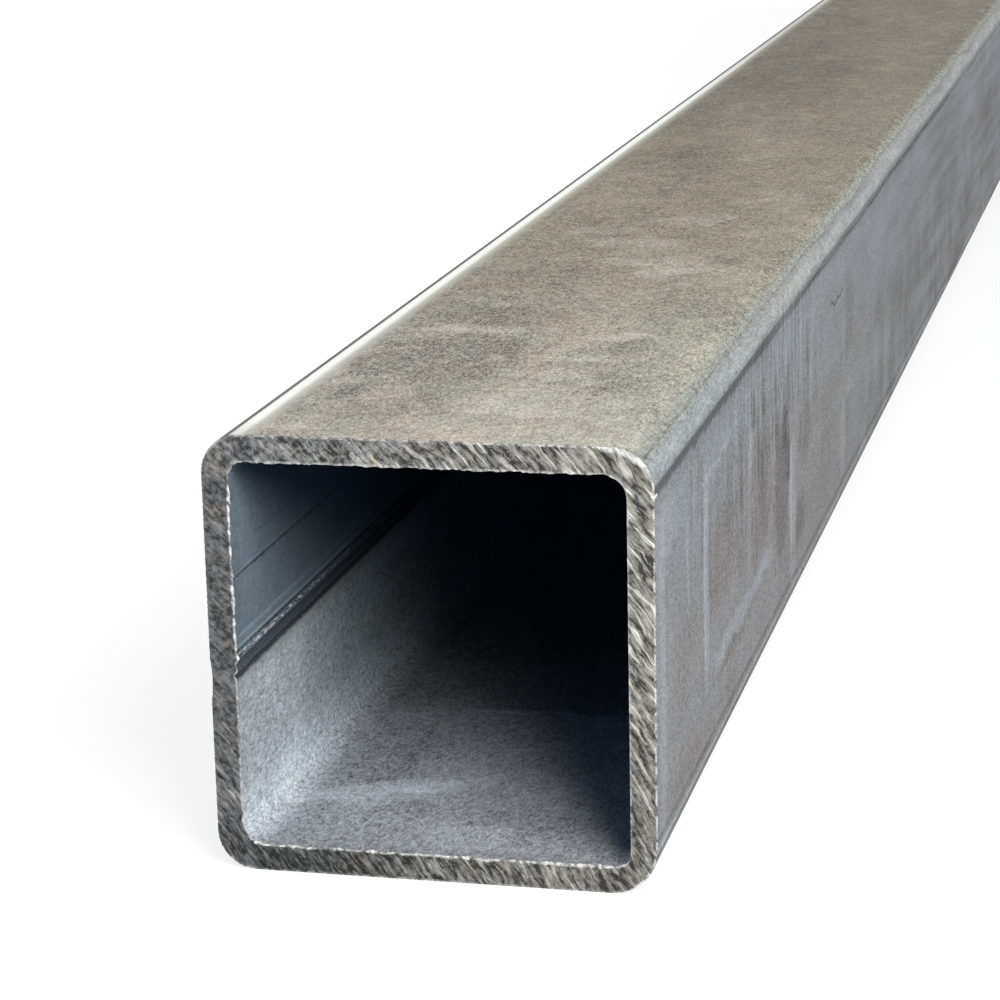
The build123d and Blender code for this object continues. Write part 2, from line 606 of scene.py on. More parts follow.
def cloud_group():
    """Soft clouds, drawn out by a size for each axis, 0 in the middle, and where they are thick."""
    inputs = {"Place": ORIGIN, "Size": (1.0, 1.0, 1.0), "Shift": ORIGIN, "Cover": 0.5}
    w, given = new_group("soft_clouds", "Shader", inputs)
    spot = w.vector("ADD", w.vector("DIVIDE", given.place, given.size), given.shift)
    cloud = w.noise(spot, detail=4.0, roughness=0.5)
    over = w.minus(cloud, w.minus(1.0, given.cover))
    mask = w.span(over, -0.08, 0.12)
    return close_group(w, {"Tone": w.scaled(cloud, 4.0, -2.0), "Mask": mask})


def roll_line_group():
    """A line or band left by a roll: 1 at its middle, soft at its sides, broken up on request."""
    inputs = {"Value": 0.0, "Middle": 0.0, "Width": 1.0, "Whole": 1.0, "Broken": 0.0}
    w, given = new_group("roll_line", "Shader", inputs)
    offset = w.maths("ABSOLUTE", w.minus(given.value, given.middle))
    line = w.span(w.over(offset, w.times(given.width, 0.5)), 1.0, 0.3)
    kept = w.mix(given.broken, 1.0, given.whole)
    return close_group(w, {"Mask": w.times(line, kept)})


def rubbed_mark_group():
    """One soft rounded rub, drip or stain on a flat face, its outline frayed."""
    inputs = {"Spot": ORIGIN, "Middle": ORIGIN, "Half Size": (1.0, 1.0, 1.0), "Fray": 0.0}
    w, given = new_group("rubbed_mark", "Shader", inputs)
    share = w.vector("SUBTRACT", given.spot, given.middle)
    share = w.vector("DIVIDE", share, given.half_size)
    cubes = w.vector("DOT_PRODUCT", w.vector("ABSOLUTE", share), w.vector("MULTIPLY", share, share))
    far = w.scaled(given.fray, 0.35, w.maths("POWER", cubes, 1.0 / 3.0))
    return close_group(w, {"Mask": w.span(far, 1.25, 0.7)})


def blade_marks_group():
    """A cut face as brightness about 1: ridges and torn strokes along the saw's arcs with thin
    bright scores among them, crumbled all over and without direction where the wall tore away, and painted
    light and shade on the strokes' slopes."""
    w, given = new_group("blade_marks", "Shader", {"Place": ORIGIN, "Across": 0.0, "Up": 0.0})
    course = blade_course(w, given.across, given.up)
    strokes = blade_strokes(w, course)
    # Painted light and shade: strokes minus their neighbours beside them light one side of each stroke and
    # darken the other
    beside = blade_strokes(w, (w.plus(course[0], 0.14), course[1]))
    slope = w.minus(strokes, beside)
    scores = scored(w, course, 0.42, 3.8, 9.0)
    crumbs = w.noise(w.scale(given.place, 1.5), detail=3.0, roughness=0.62)
    specks = w.noise(w.scale(given.place, 5.5), detail=1.0)
    torn = w.span(w.minus(given.up, given.across), 16.0, 46.0, 0.15, 0.75)
    on_left = w.span(given.across, -19.0, -21.0)
    torn = w.larger(torn, w.times(on_left, w.span(given.up, -17.0, -4.0, 0.0, 0.64)))
    strokes = w.mix(torn, strokes, crumbs)
    band = w.minus(blade_bands(w, course), 0.5)
    ridges = w.scaled(band, 0.5, w.minus(strokes, 0.5))
    dark = w.span(ridges, -0.06, -0.2)
    bright = w.span(w.scaled(band, 0.5, scores), 0.57, 0.70)
    bright = w.times(bright, w.scaled(torn, -0.8, 1.0))
    loose = w.minus(weighted(w, (crumbs, 1.3), (specks, 1.0)), 1.15)
    clean = w.times(w.span(given.across, 12.0, 20.0), w.span(given.up, -8.0, 4.0))
    bright = w.times(bright, w.scaled(clean, 0.3, 1.0))
    loose = w.times(loose, w.scaled(clean, -0.5, 1.0))
    tone = [(ridges, 4.2), (dark, -0.25), (bright, 1.1), (loose, 1.8), (slope, 2.4)]
    tone = w.larger(w.plus(weighted(w, *tone), 1.0), 0.16)
    return close_group(w, {"Tone": tone, "Height": w.plus(ridges, bright)})


CLOUD = cloud_group()
PLACE = tube_place_group()
GRAIN = grain_group()
ROLL_LINE = roll_line_group()
RUB = rubbed_mark_group()
BLADE = blade_marks_group()


def new_material(name):
    material = bpy.data.materials.new(name)
    material.use_nodes = True
    material.node_tree.nodes.clear()
    return material, Wiring(material.node_tree)


def attribute(w, name):
    return w.add("ShaderNodeAttribute", attribute_name=name).outputs["Fac"]


def finish_material(w, colour, metallic, roughness, height, bump_distance, specular):
    bump = w.add("ShaderNodeBump", {"Height": height, "Distance": bump_distance})
    inputs = {"Base Color": colour, "Metallic": metallic, "Roughness": roughness, "Normal": bump.outputs[0]}
    shader = w.add("ShaderNodeBsdfPrincipled", inputs)
    shader.inputs["Specular IOR Level"].default_value = specular
    w.add("ShaderNodeOutputMaterial", {"Surface": shader.outputs[0]})


# -------------------------------------------------- mill finish

# Marks of handling: middle along and up, half length, half height, brightness and any slope
SIDE_MARKS = (
    (4, -1.5, 1.8, 17, 0.22),
    (12, 15.5, 9, 3.5, 0.08),
    (19.7, 7.2, 0.9, 6, 0.2),
    (22.5, 14, 1, 3.5, -0.14),
    (27.2, 14.5, 0.9, 4, -0.14),
    (31.8, 0.5, 1.8, 12.3, 0.3),
    (31.2, 0.5, 0.45, 11.6, 0.26),
    (35, 3, 1, 9.5, -0.12),
    (42, 14.4, 11.5, 0.45, 0.24, 0.09),
    (44, 4, 8, 9, -0.08),
    (61, -9.8, 22.5, 1.3, 0.26, 0.02),
    (42, -10.3, 4, 1.6, 0.12),
    (79, -8.6, 4.5, 1.8, 0.12),
    (58.5, 3.5, 5, 10.5, -0.17),
    (65, 2, 1.2, 9, 0.08),
    (74, 1.6, 8.2, 8.2, -0.22),
    (68, 14, 2.2, 2.3, -0.26),
    (76, 14, 2.3, 2.5, -0.22),
    (93.3, -2.5, 6.8, 9.7, -0.32),
    (104, -7.2, 3, 9.9, 0.26),
    (102.6, -6, 0.9, 9.6, 0.24),
    (98, 6, 3.6, 9, -0.16),
    (88.5, 9, 1.3, 5.5, -0.22),
    (111.8, -12, 4.2, 3.6, -0.22),
    (116, 0, 5, 5.5, -0.14),
    (118.5, 12, 2.5, 3.2, -0.14),
    (123, 10, 1.8, 3.8, 0.12),
    (151, 11.8, 8.5, 0.35, -0.55),
    (29.3, 10, 0.5, 7, -0.22),
    (99.6, 4, 0.6, 9, -0.22),
    (50, -12.2, 11, 0.7, -0.16, 0.02),
    (24.6, 14, 0.35, 4.5, 0.2),
    (66, 9.5, 0.8, 6, 0.2),
    (83.5, 7.5, 1, 7, 0.14),
    (161, -11.5, 3.2, 6, 0.2),
    (161.5, 3, 1.6, 5, 0.12),
    (167, 7, 5, 7, -0.12),
    (168.5, -5.5, 6.5, 1.1, 0.15, -0.08),
)
LID_MARKS = (
    (18.5, 6.5, 7.5, 6, 0.16),
    (29.5, -15, 2.5, 2.6, 0.1, 0.5),
    (33.5, 8, 2.6, 3.2, 0.18, 0.4),
    (43.5, 8.5, 1.8, 4.6, 0.16),
    (59.5, -7.5, 2.6, 6, 0.22, 0.6),
    (57, 11, 3, 3.8, 0.24, 0.8),
    (100, 8, 4.6, 4, 0.2, 0.5),
    (124.5, 0, 3.6, 6, 0.16),
    (145, 6.5, 5, 3.4, 0.16, 0.4),
    (42, -7, 13, 10, -0.12),
    (68, -10, 7, 5.5, -0.12),
    (92, -8.5, 7.5, 6, -0.08),
    (30, 15, 6, 2.2, -0.14),
    (22.5, -15, 4.5, 1.8, -0.14),
    (51, 12, 5, 2.4, -0.12),
    (110, 14.5, 7.5, 2.6, -0.12),
    (335, -4, 45, 12, -0.07),
    (205, -7, 16, 9, -0.07),
    (108, 3, 3, 7, 0.14, 0.6),
    (134, -6, 3, 6, 0.12, 0.5),
)


def marks_tone(w, marks, along, up, fray):
    """Sum of the marks' brightness at a place."""
    level = w.combine(along, up, 0.0)
    parts = []
    for middle_along, middle_up, half_length, half_height, brightness, *slopes in marks:
        slope = sum(slopes)
        spot = w.combine(along, w.scaled(along, -slope, up), 0.0) if slopes else level
        middle = (middle_along, middle_up - slope * middle_along, 0.0)
        half_size = (half_length, half_height, 1.0)
        mask = w.place(RUB, Spot=spot, Middle=middle, Half_Size=half_size, Fray=fray).mask
        parts.append((mask, brightness))
    return weighted(w, *parts)


def roll_line(w, at, value, middle, width, broken):
    line = {"Value": value, "Middle": middle, "Width": width, "Whole": at.whole, "Broken": broken}
    return w.place(ROLL_LINE, **line).mask


def lid_colour(w, at, grain):
    """Top and bottom: warm grey oxide in clouds, with pale wisps, browner away from the cut. Painted light
    makes it lighter near the cuts and darker away from the front cut.
    """
    leaning = w.combine(at.across, w.scaled(at.across, -0.6, at.along), at.up)
    wisps = clouds(w, leaning, (7.0, 9.0, 7.0), 0.0, 0.38).mask
    flecks = clouds(w, at.place, (2.6, 3.2, 2.6), 31.0, 0.40).mask
    large = cloud_tone(w, at, (14.0, 22.0, 14.0), 7.0)
    small = cloud_tone(w, at, (3.2, 6.0, 3.2), 41.0)
    long = cloud_tone(w, at, (9.0, 70.0, 9.0), 23.0)
    fine = cloud_tone(w, at, (1.1, 2.6, 1.1), 67.0)
    fray = cloud_tone(w, at, (3.0, 4.0, 3.0), 53.0)
    along = w.scaled(at.sway, 1.6, at.along)
    across = w.scaled(at.swerve, 1.6, at.across)
    marks = marks_tone(w, LID_MARKS, along, across, fray)
    tint = w.span(cloud_tone(w, at, (6.0, 12.0, 6.0), 19.0), -0.6, 0.6)
    tint = w.times(tint, w.span(at.across, 7.0, 19.0, 1.0, 0.2))
    near = w.blend(tint, shade(152, 150, 140), shade(157, 149, 139))
    far = w.blend(tint, shade(153, 147, 131), shade(158, 147, 130))
    colour = w.blend(w.span(at.along, 0.0, 160.0), near, far)
    colour = w.blend(w.span(marks, 0.0, 0.3, 0.0, 0.6), colour, shade(158, 156, 151))
    tone = w.plus(
        w.times(grain, w.span(at.along, 8.0, 50.0, 0.62, 0.8)),
        weighted(w, (wisps, 0.25), (flecks, 0.2), (marks, 1.5)),
        -0.07,
        w.times(fine, w.span(at.along, 30.0, 160.0, 0.02, 0.13)),
        weighted(w, (large, 0.16), (small, 0.16), (long, 0.12)),
        # painted light: lighter within 16 mm of a cut
        w.span(at.from_end, 16.0, 1.0, 0.0, 0.20),
        w.span(at.across, -14.0, 16.0, -0.08, 0.08),
    )
    # Painted light falloff: darker away from the front cut
    painted_light_falloff = w.span(at.along, 5.0, 110.0, 1.0, 0.76)
    painted_light_falloff = w.times(painted_light_falloff, w.span(at.along, 70.0, 340.0, 1.0, 0.66))
    return w.scale(brightened(w, colour, tone), painted_light_falloff)


def side_colour(w, at, grain):
    """The two sides: blue grey above and in the rubs, brown grey in the stains. Upright mottles
    near the bottom and lengthwise ones away from the cut. Painted light makes them lighter near the cuts
    and towards the top, and darker away from the front cut."""
    far = w.span(at.along, 130.0, 240.0)
    low = w.span(at.up, 8.0, -8.0)
    large = cloud_tone(w, at, (14.0, 18.0, 9.0), 29.0)
    mottles = cloud_tone(w, at, (6.0, 9.0, 15.0), 3.0)
    drawn = cloud_tone(w, at, (30.0, 60.0, 3.4), 11.0)
    uprights = cloud_tone(w, at, (3.0, 1.6, 9.0), 17.0)
    streaky = w.times(w.span(at.along, 35.0, 65.0), w.span(at.along, 150.0, 105.0))
    streaky = w.times(streaky, w.span(at.up, -6.0, 6.0))
    fray = cloud_tone(w, at, (2.5, 2.4, 3.4), 37.0)
    along = w.scaled(at.sway, 0.7, at.along)
    up = w.scaled(at.swerve, 1.3, at.up)
    marks = marks_tone(w, SIDE_MARKS, along, up, fray)
    marks = w.times(marks, w.span(at.across, -1.0, 1.0, 0.0, 1.25))
    broad = w.plus(
        w.times(large, 0.16),
        marks,
        w.times(mottles, far, low, w.span(at.along, 300.0, 500.0, 0.32, 0.18)),
        w.times(drawn, w.span(at.along, 180.0, 360.0, 0.25, 1.0), 0.40),
        # painted light: lighter within 16 mm of a cut
        w.span(at.from_end, 16.0, 1.0, 0.0, 0.16),
        # painted light: lighter towards the top
        w.span(at.up, 2.0, 16.0, 0.0, 0.12),
    )
    cooler = w.plus(broad, w.span(at.up, -8.0, 15.0, -0.10, 0.12))
    cooler = w.plus(cooler, w.span(at.along, 130.0, 260.0, 0.0, 0.2))
    colour = w.blend(w.span(cooler, -0.25, 0.3), shade(123, 121, 121), shade(119, 124, 129))
    broad = w.plus(broad, w.times(uprights, w.scaled(streaky, 0.40, 0.07)))
    # Painted light falloff: darker away from the front cut
    painted_light_falloff = w.span(at.along, 60.0, 330.0, 1.0, 0.74)
    return w.scale(brightened(w, colour, w.scaled(grain, 0.55, broad)), painted_light_falloff)


def corner_lines(w, at):
    """The roll lines beside the corners: the satin band's share, and the other lines' brightness, with
    painted shadow and painted shade under the satin band.
    """
    upper = w.above(at.up, 0.0)
    lower = w.minus(1.0, upper)
    sway = w.noise(w.vector("DIVIDE", at.place, (60.0, 45.0, 60.0)), detail=1.0)
    swaying = w.span(at.along, 80.0, 150.0, 0.0, 3.4)
    sway = w.times(w.minus(sway, 0.5), swaying, w.span(at.from_lid, 0.3, 2.0))
    from_lid = w.plus(at.from_lid, sway)
    lines = {}
    for name, middle, width, broken in (
        ("inner", 1.4, 0.45, 0.3),
        ("satin", 2.9, 2.9, 0.3),
        ("bright_low", 5.2, 0.6, 0.4),
        ("dark_low", 6.4, 1.3, 0.5),
        ("edge_low", 4.3, 0.9, 0.2),
        ("thin_high", 5.4, 0.6, 0.6),
        ("crack", 5.0, 0.5, 0.7),
        ("far_high", 5.2, 2.4, 0.3),
        ("far_low", 6.6, 3.0, 0.3),
    ):
        lines[name] = roll_line(w, at, from_lid, middle, width, broken)
    ragged = w.scaled(cloud_tone(w, at, (2.0, 1.6, 2.4), 61.0), 0.5, at.from_lid)
    fading = w.span(at.along, 60.0, 130.0, 1.0, 0.5)
    # Painted shadow right under the satin band, and painted shade fading below it
    shadow = w.times(w.span(at.from_lid, 4.1, 4.35), w.span(ragged, 5.9, 5.1), upper, fading)
    shade_below_satin = w.times(w.span(at.from_lid, 4.2, 4.6), w.span(ragged, 8.5, 5.4), upper, fading)
    tone = w.plus(
        weighted(w, (lines["inner"], -0.24), (shadow, -0.56), (shade_below_satin, -0.18)),
        w.times(upper, lines["thin_high"], w.span(at.along, 50.0, 90.0), -0.25),
        w.times(upper, lines["crack"], w.span(at.along, 90.0, 130.0), -0.7),
        w.times(lower, weighted(w, (lines["bright_low"], 0.7), (lines["dark_low"], -0.42))),
        w.times(lower, lines["edge_low"], -0.5),
        w.times(upper, lines["far_high"], w.span(at.along, 290.0, 400.0), 0.5),
        w.times(lower, lines["far_low"], w.span(at.along, 350.0, 440.0), 0.6),
    )
    return lines["satin"], tone


def skin_finish():
    """Outside: warm oxide on the top and bottom, cooler sides, satin and burnished corners, with a painted
    highlight along the top left corner and painted shade past it.
    """
    material, w = new_material("mill_skin")
    at = w.place(PLACE)
    grain = w.place(GRAIN, Place=at.place, Size=0.2).speckle
    warm = lid_colour(w, at, grain)
    cool = side_colour(w, at, grain)

    # Warm meets cool raggedly on each corner
    from_lid = w.scaled(grain, 0.3, at.from_lid)
    turned = brightened(w, shade(141, 144, 138), w.times(grain, 0.6))
    colour = w.blend(w.span(from_lid, 0.3, 1.1), warm, turned)
    colour = w.blend(w.span(from_lid, 1.4, 2.4), colour, cool)
    satin, lines_tone = corner_lines(w, at)
    patchy = cloud_tone(w, at, (3.0, 9.0, 3.0), 71.0)
    pale = w.blend(w.span(at.along, 20.0, 120.0), shade(141, 148, 150), shade(152, 155, 151))
    pale = brightened(w, pale, weighted(w, (grain, 0.45), (patchy, 0.24)))
    shown = w.span(at.along, 90.0, 220.0, 0.9, 0.6)
    colour = w.blend(w.times(satin, shown), colour, pale)
    colour = brightened(w, colour, lines_tone)

    # Planed band over the weld, on the left side
    planed = roll_line(w, at, at.up, (SCARF_HEIGHT - SIDE / 2) / MM, SCARF_WIDTH / MM, 0.3)
    planed = w.times(planed, w.under(at.across, -20.0))
    brushed = cloud_tone(w, at, (4.0, 40.0, 0.5), 83.0)
    bare = brightened(w, shade(160, 166, 170), w.times(brushed, 0.3))
    colour = w.blend(w.times(planed, 0.8), colour, bare)

    # Burnished strip where the top turns down to the left, painted near white as a highlight with a paler
    # painted highlight beside it, and painted shade past it
    fading = w.span(at.along, 240.0, 420.0, 1.0, 0.4)
    from_cut = w.span(at.from_end, 0.0, 9.0, 0.5, 1.0)
    rubbed_and_highlight = w.times(w.span(at.from_lid, 0.3, 0.03), from_cut, fading)
    frayed = w.scaled(grain, 0.5, at.across)
    # Painted highlight: a paler band beside the strip
    highlight_flank = w.times(w.span(frayed, -18.2, -20.4), rubbed_and_highlight, 0.7)
    colour = w.blend(highlight_flank, colour, shade(196, 199, 189))
    rubbed_and_highlight = w.times(rubbed_and_highlight, w.span(at.across, -19.7, -20.7))
    colour = w.blend(rubbed_and_highlight, colour, shade(240, 242, 236))
    # Painted shade past the strip, where the corner turns away from the light
    shade_past_strip = w.times(w.span(at.across, -21.55, -21.8), w.span(at.from_lid, 0.75, 0.5), 0.9)
    colour = w.blend(shade_past_strip, colour, shade(94, 96, 96))
    # A flake high on the right, painted white as a highlight
    colour = w.blend(chip(w, at), colour, shade(236, 238, 236))

    plain = w.minus(1.0, w.larger(rubbed_and_highlight, shade_past_strip))
    metallic = w.mix(rubbed_and_highlight, w.mix(satin, 0.10, 0.25), 0.7)
    metallic = w.mix(shade_past_strip, metallic, 0.0)
    roughness = w.mix(satin, w.scaled(grain, 0.05, 0.62), 0.45)
    roughness = w.mix(rubbed_and_highlight, roughness, 0.3)
    roughness = w.mix(shade_past_strip, roughness, 0.95)
    height = w.times(grain, plain)
    finish_material(w, colour, metallic, roughness, height, 0.02 * MM, specular=0.15)
    return material


# -------------------------------------------------- bore finish

HALF_BORE = (SIDE / 2 - WALL) / MM

# Pale dust on the bore's floor, and one thin line of painted light where the light ends 50 mm in, as the
# marks above: from the end, across
BORE_DUST_AND_LIGHT_LINE = (
    (20, -10.8, 5.5, 3.8, 0.34, 1.15),
    (17.5, -9, 4, 2.6, 0.24, 1.3),
    (22.5, -4.5, 4, 3, 0.2, 1.4),
    # Painted light: a thin light line where the light ends on the floor
    (50, 8, 0.7, 15, 0.45),
    (24, 4, 9, 13, 0.16),
    (5, 2.5, 4.5, 4.5, 0.22),
    (29, -14, 8, 5, -0.12),
)


def weld_lines_tone(w, at):
    """Light and dark lines beside the bead, as brightness. The dark band just below the bead is painted
    shade under it.
    """
    parts = []
    for middle, width, brightness, broken in (
        (11.75, 0.6, -0.22, 0.6),
        (8.6, 0.5, -0.6, 0.1),
        (9.0, 0.4, 0.2, 0.3),
        (1.8, 0.6, 0.4, 0.5),
        (0.7, 0.6, 0.9, 0.4),
        (0.25, 0.5, -0.6, 0.0),
        # painted shade under the bead
        (-1.1, 1.3, -0.55, 0.1),
        (-1.9, 0.5, 0.6, 0.4),
    ):
        parts.append((roll_line(w, at, at.up, middle, width, broken), brightness))
    return weighted(w, *parts)


def inner_dark(w, at, left, down):
    """How far painted shade darkens the bore inwards, as the shadow of its top and right walls: it starts
    beside the top on the left wall and beside the right wall on the floor. 0 at the cut."""
    below_top = w.plus(w.minus(HALF_BORE, at.up), w.times(w.minus(1.0, left), HALF_BORE))
    from_right = w.plus(w.minus(HALF_BORE, at.across), w.times(w.minus(1.0, down), HALF_BORE))
    room = w.larger(w.smaller(below_top, from_right), 2.0)
    return w.span(w.over(at.from_end, room), 1.15, 3.25)


def bore_finish():
    """Inside: light and grainy, but smooth and dark above the weld, with the weld's own lines, and painted
    shade that darkens it inwards.
    """
    material, w = new_material("bore_skin")
    at = w.place(PLACE)
    grain = w.place(GRAIN, Place=at.place, Size=0.23, Drawn=0.68).speckle
    mottled = cloud_tone(w, at, (7.0, 9.0, 7.0), 5.0)
    left = w.span(at.across, -20.2, -21.7)
    down = w.span(at.up, -20.2, -21.7)
    frayed = w.scaled(grain, 0.5, at.across)
    # Painted light: the corner of the left wall and the floor brightened where it catches the light
    painted_corner_light = w.times(w.span(frayed, -18.0, -21.2), w.span(at.up, -13.5, -19.0))
    colour = w.blend(down, shade(172, 180, 185), shade(154, 158, 163))
    colour = brightened(w, colour, w.times(painted_corner_light, 0.40))
    fray = cloud_tone(w, at, (5.0, 7.0, 5.0), 13.0)
    inward = w.scaled(at.sway, 1.5, at.from_end)
    across = w.scaled(at.swerve, 1.5, at.across)
    dust_and_light_line = marks_tone(w, BORE_DUST_AND_LIGHT_LINE, inward, across, fray)
    rougher = w.times(grain, w.mix(down, 0.5, 0.62))
    tone = w.plus(rougher, w.times(mottled, 0.12), w.times(dust_and_light_line, down), 0.05)
    light = brightened(w, colour, tone)

    over_weld = w.scaled(grain, 0.25, at.up)
    above = w.times(left, w.span(over_weld, -3.2, -2.6))
    groove = w.times(left, w.span(over_weld, -3.3, -2.7), w.span(over_weld, -2.2, -2.45))
    violet = w.times(left, w.span(at.up, -2.4, -2.1), w.span(at.up, -0.3, -0.7))
    smeared = w.times(left, w.span(over_weld, -5.2, -3.0))
    # Painted light: the smooth wall above the weld lighter near the cut
    painted_light_near_cut = w.span(at.from_end, 14.0, 0.0)
    lines = weld_lines_tone(w, at)
    fine = weighted(w, (grain, 0.26), (mottled, 0.06), (lines, 1.0), (painted_light_near_cut, 0.16))
    smooth = brightened(w, shade(112, 124, 133), fine)
    colour = w.blend(above, light, smooth)
    colour = w.blend(w.times(smeared, w.mix(above, 0.35, 0.0)), colour, shade(118, 114, 106))
    colour = w.blend(w.times(violet, 0.7), colour, shade(62, 65, 74))
    # The groove painted near black: partly soot in it, partly painted shade
    colour = w.blend(w.times(groove, 0.85), colour, shade(36, 36, 40))
    bead = attribute(w, "flash")
    # Painted highlights: bright dots where the bead's facets catch light, fewer inwards
    painted_glints = w.noise(w.vector("DIVIDE", at.place, (0.3, 1.6, 0.22)), detail=2.0, roughness=0.6)
    painted_glints = w.times(w.span(painted_glints, 0.42, 0.62), w.span(at.from_end, 22.0, 60.0, 1.0, 0.25))
    bead_colour = w.blend(painted_glints, shade(84, 90, 97), shade(196, 200, 203))
    colour = w.blend(bead, colour, bead_colour)
    # Painted shade: darker inwards, as if shadowed by the top and right walls
    dark = inner_dark(w, at, left, down)
    colour = w.blend(dark, colour, w.vector("MULTIPLY", colour, (0.22, 0.30, 0.42)))
    # Pale blue deep in the bore, painted to lift the dim light there
    colour = w.blend(w.span(at.from_end, 75.0, 190.0), colour, shade(120, 180, 215))

    burr = burr_shine(w, at)
    colour = w.blend(burr, colour, shade(235, 235, 230))
    metallic = w.mix(burr, 0.05, 0.8)
    roughness = w.mix(above, 0.7, 0.5)
    finish_material(w, colour, metallic, roughness, grain, 0.015 * MM, specular=0.15)
    return material


# -------------------------------------------------- sawn ends

def burr_shine(w, at):
    """Where the burr is bright: in lumps, and hardly on the top edge."""
    shine = w.span(attribute(w, "burr"), 0.10, 0.34)
    lumps = w.noise(w.scale(at.place, 1.5), detail=2.0, roughness=0.65)
    shine = w.times(shine, w.span(lumps, 0.38, 0.58, 0.2, 1.0))
    return w.times(shine, w.span(at.up, 19.5, 21.5, 1.0, 0.25))


def chip(w, at):
    """A bright flake that stands on the outer edge, high on the right, painted white as a highlight."""
    off = w.vector("SUBTRACT", at.place, (25.0, 0.5, 19.7))
    return w.span(w.vector("LENGTH", w.vector("MULTIPLY", off, (1.3, 0.6, 3.0))), 0.75, 0.5)


def bright_rims(w, at):
    """Painted highlights as broken bright rims along a cut face's edges, strongest on the outer right and
    at its top.
    """
    share = attribute(w, "wall_share")
    breaks = w.span(w.noise(w.scale(at.place, 1.1), detail=2.0, roughness=0.7), 0.46, 0.58)
    right = w.span(at.across, 20.0, 24.0)
    top = w.times(w.span(at.up, 21.0, 24.0), w.span(at.across, -20.0, 14.0, 0.6, 1.0))
    turn = w.times(w.span(at.across, 17.0, 20.0), w.span(at.up, 17.0, 20.0))
    bottom = w.span(at.up, -21.0, -24.0)
    outer = w.plus(weighted(w, (right, 0.7), (top, 0.62), (bottom, 0.4), (turn, 0.1)), 0.1)
    outer = w.maths("MULTIPLY", outer, w.scaled(breaks, 0.85, 0.15), clamp=True)
    outer = w.times(outer, w.span(share, 0.11, 0.03))
    to_turn = w.plus(at.across, at.up)
    torn_up = w.times(w.span(to_turn, 43.2, 44.6), w.span(share, 0.25, 0.13))
    torn_up = w.times(torn_up, w.span(at.up, 21.2, 22.4), w.scaled(breaks, 0.5, 0.5))
    outer = w.larger(outer, torn_up)
    inner = w.times(w.scaled(breaks, 0.4, 0.1), w.span(share, 0.91, 0.98))
    return w.larger(w.larger(outer, inner), chip(w, at))


def cut_finish():
    """Sawn face: torn dark strokes and bright scores, with painted light and shade on the strokes, painted
    highlights on the rims, and a burr.
    """
    material, w = new_material("sawn_steel")
    at = w.place(PLACE)
    marks = w.place(BLADE, Place=at.place, Across=at.across, Up=at.up)
    stained = w.noise(w.scale(at.place, 0.45), detail=2.0)
    base = w.blend(w.span(at.across, -26.0, 26.0), shade(88, 90, 92), shade(139, 138, 132))
    base = w.blend(w.span(stained, 0.5, 0.68, 0.0, 0.4), base, shade(124, 118, 104))
    on_top = w.times(w.span(at.up, 20.0, 23.0), w.span(at.across, -18.0, 20.0, 0.34, -0.20))
    on_right = w.times(w.span(at.across, 18.0, 22.0), w.span(at.up, -14.0, 4.0, -0.28, -0.07))
    under = w.times(w.span(at.up, -20.0, -23.0), w.span(at.across, -10.0, 14.0, -0.06, -0.20))
    base = brightened(w, base, w.plus(on_top, on_right, under))
    lower_left = w.times(w.span(at.up, -19.0, -22.5), w.span(at.across, 10.0, -8.0))
    base = brightened(w, base, w.times(lower_left, -0.52))
    rough = w.minus(marks.tone, 1.0)
    upper_right = w.times(w.span(at.across, 12.0, 20.0), w.span(at.up, -8.0, 4.0))
    on_left = w.times(w.span(at.across, -19.0, -21.0), w.span(at.up, -14.0, -8.0))
    contrast = w.plus(weighted(w, (lower_left, 0.7), (upper_right, 0.15), (on_left, -0.14)), 1.0)
    rough = w.times(rough, contrast)
    colour = brightened(w, base, w.larger(rough, -0.84))
    # Painted highlights on the rims
    colour = w.blend(bright_rims(w, at), colour, shade(236, 238, 236))
    burr = burr_shine(w, at)
    colour = w.blend(burr, colour, shade(238, 238, 234))
    metallic = w.mix(burr, 0.25, 0.8)
    finish_material(w, colour, metallic, 0.45, marks.height, 0.05 * MM, specular=0.4)
    return material


# -------------------------------------------------- piece

tube = as_piece(
    "square_tube_dressed",
    build_tube_shape(),
    {
        "Side": SIDE,
        "Length": LENGTH,
        "Wall": WALL,
        "Seed": SEED,
        "Skin Finish": skin_finish(),
        "Bore Finish": bore_finish(),
        "Cut Finish": cut_finish(),
    },
)
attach(tube, "root")
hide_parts(NODE)


# -------------------------------------------------- camera

CAMERA_PLACE = Vector((82.0, -803.8, 124.9)) * MM
CAMERA_AIM = Vector((-5.3, -443.7, 28.8)) * MM
CAMERA_ROLL = math.radians(1.31)
CAMERA_LENS = 109.65


def add_camera():
    camera = bpy.data.objects.new("camera", bpy.data.cameras.new("camera"))
    bpy.context.scene.collection.objects.link(camera)
    camera.data.sensor_width = 36.0
    camera.data.lens = CAMERA_LENS
    camera.data.clip_start = 0.01
    camera.data.clip_end = 100.0
    looking = (CAMERA_AIM - CAMERA_PLACE).to_track_quat("-Z", "Y").to_matrix().to_4x4()
    rolled = Matrix.Rotation(-CAMERA_ROLL, 4, "Z")
    camera.matrix_world = Matrix.Translation(CAMERA_PLACE) @ looking @ rolled
    bpy.context.scene.camera = camera


# -------------------------------------------------- stage and lights

WHITE = (1.0, 1.0, 1.0)

# Fill: the way it comes from, and its strength away from there and there
FILL_FROM = (-0.75, 0.65, 0.35)
FILL_LEAST = 0.03
FILL_MOST = 0.85

LEAST_SAMPLES = 16

# What the lamps are aimed at
FRONT_END = (0.0, FRONT + 0.03, SIDE / 2)
MIDDLE = (0.0, 0.0, SIDE / 2)
REAR = (0.0, FRONT + 0.85, SIDE / 2)
BORE_TOP = (0.0, FRONT, SIDE - WALL)


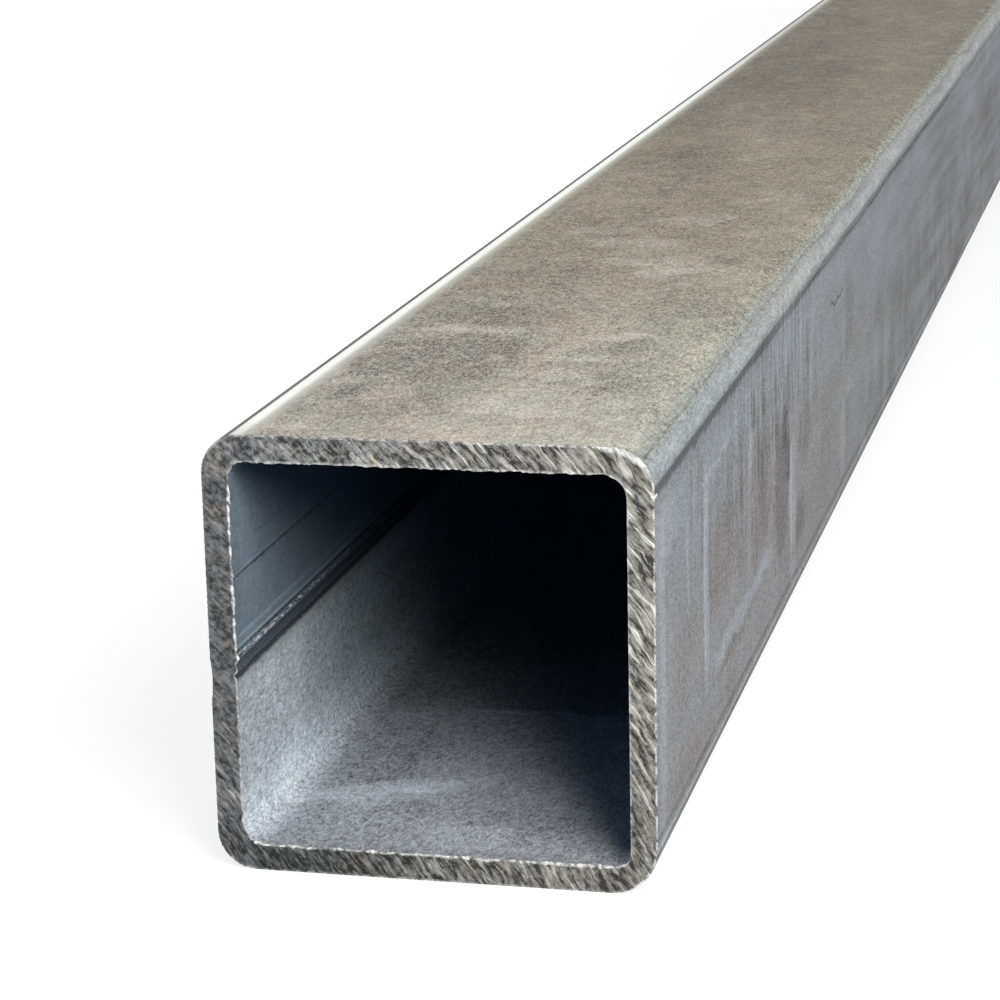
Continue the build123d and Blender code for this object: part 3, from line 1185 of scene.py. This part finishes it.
def seen_rays(w):
    """1 for rays that show the backdrop: straight, mirrored or through glass."""
    path = w.add("ShaderNodeLightPath").outputs
    seen = w.larger(path["Is Camera Ray"], path["Is Glossy Ray"])
    return w.larger(seen, path["Is Transmission Ray"])


def add_floor():
    bpy.ops.mesh.primitive_plane_add(size=60.0, location=(0.0, 0.0, 0.0))
    floor = bpy.context.object
    floor.name = "floor"
    material, w = new_material("pale_floor")
    matt = w.add("ShaderNodeBsdfDiffuse", {"Color": (0.4, 0.4, 0.4)})
    far = w.vector("LENGTH", w.add("ShaderNodeTexCoord").outputs["Object"])
    lift = w.times(seen_rays(w), w.span(far, 0.9, 2.4, 0.68, 0.93))
    glow = w.add("ShaderNodeEmission", {"Color": WHITE, "Strength": lift})
    both = w.add("ShaderNodeAddShader", {0: matt.outputs[0], 1: glow.outputs[0]})
    w.add("ShaderNodeOutputMaterial", {"Surface": both.outputs[0]})
    floor.data.materials.append(material)


def add_world():
    """White where it is seen. As light it is a soft fill from the back left and above, because
    the key lights the front and right."""
    world = bpy.data.worlds.new("studio")
    bpy.context.scene.world = world
    world.use_nodes = True
    world.node_tree.nodes.clear()
    w = Wiring(world.node_tree)
    way = w.add("ShaderNodeTexCoord").outputs["Generated"]
    facing = w.vector("DOT_PRODUCT", way, Vector(FILL_FROM).normalized())
    strength = w.span(facing, -0.2, 0.7, FILL_LEAST, FILL_MOST)
    soft = w.add("ShaderNodeBackground", {"Color": WHITE, "Strength": strength})
    white = w.add("ShaderNodeBackground", {"Color": WHITE, "Strength": 1.0})
    mixed = w.add("ShaderNodeMixShader", {0: seen_rays(w), 1: soft.outputs[0], 2: white.outputs[0]})
    w.add("ShaderNodeOutputWorld", {"Surface": mixed.outputs[0]})


def add_lamp(name, aim, turn, lift, distance, size, power):
    """A soft box that faces its aim. Turn is from the front towards +X, lift above the floor."""
    lamp = bpy.data.objects.new(name, bpy.data.lights.new(name, "AREA"))
    bpy.context.scene.collection.objects.link(lamp)
    lamp.data.shape = "RECTANGLE"
    lamp.data.size, lamp.data.size_y = size
    lamp.data.energy = power
    turn, lift = math.radians(turn), math.radians(lift)
    way = Vector((math.sin(turn) * math.cos(lift), -math.cos(turn) * math.cos(lift), math.sin(lift)))
    facing = (-way).to_track_quat("-Z", "Y").to_matrix().to_4x4()
    lamp.matrix_world = Matrix.Translation(Vector(aim) + way * distance) @ facing


add_camera()
add_floor()
add_world()
add_lamp("key", FRONT_END, 45.0, 34.0, 1.35, (0.85, 0.7), 21.0)
add_lamp("back", MIDDLE, 240.0, 40.0, 2.6, (1.6, 1.2), 12.0)
add_lamp("rear", REAR, 100.0, 22.0, 1.1, (0.6, 0.3), 4.0)
add_lamp("window", BORE_TOP, 0.0, 41.6, 2.0, (0.03, 0.03), 2.0)

scene = bpy.context.scene
scene.view_settings.view_transform = "Standard"
# Pixels that have settled, as those of the white ground do, take no more samples
scene.cycles.adaptive_min_samples = LEAST_SAMPLES
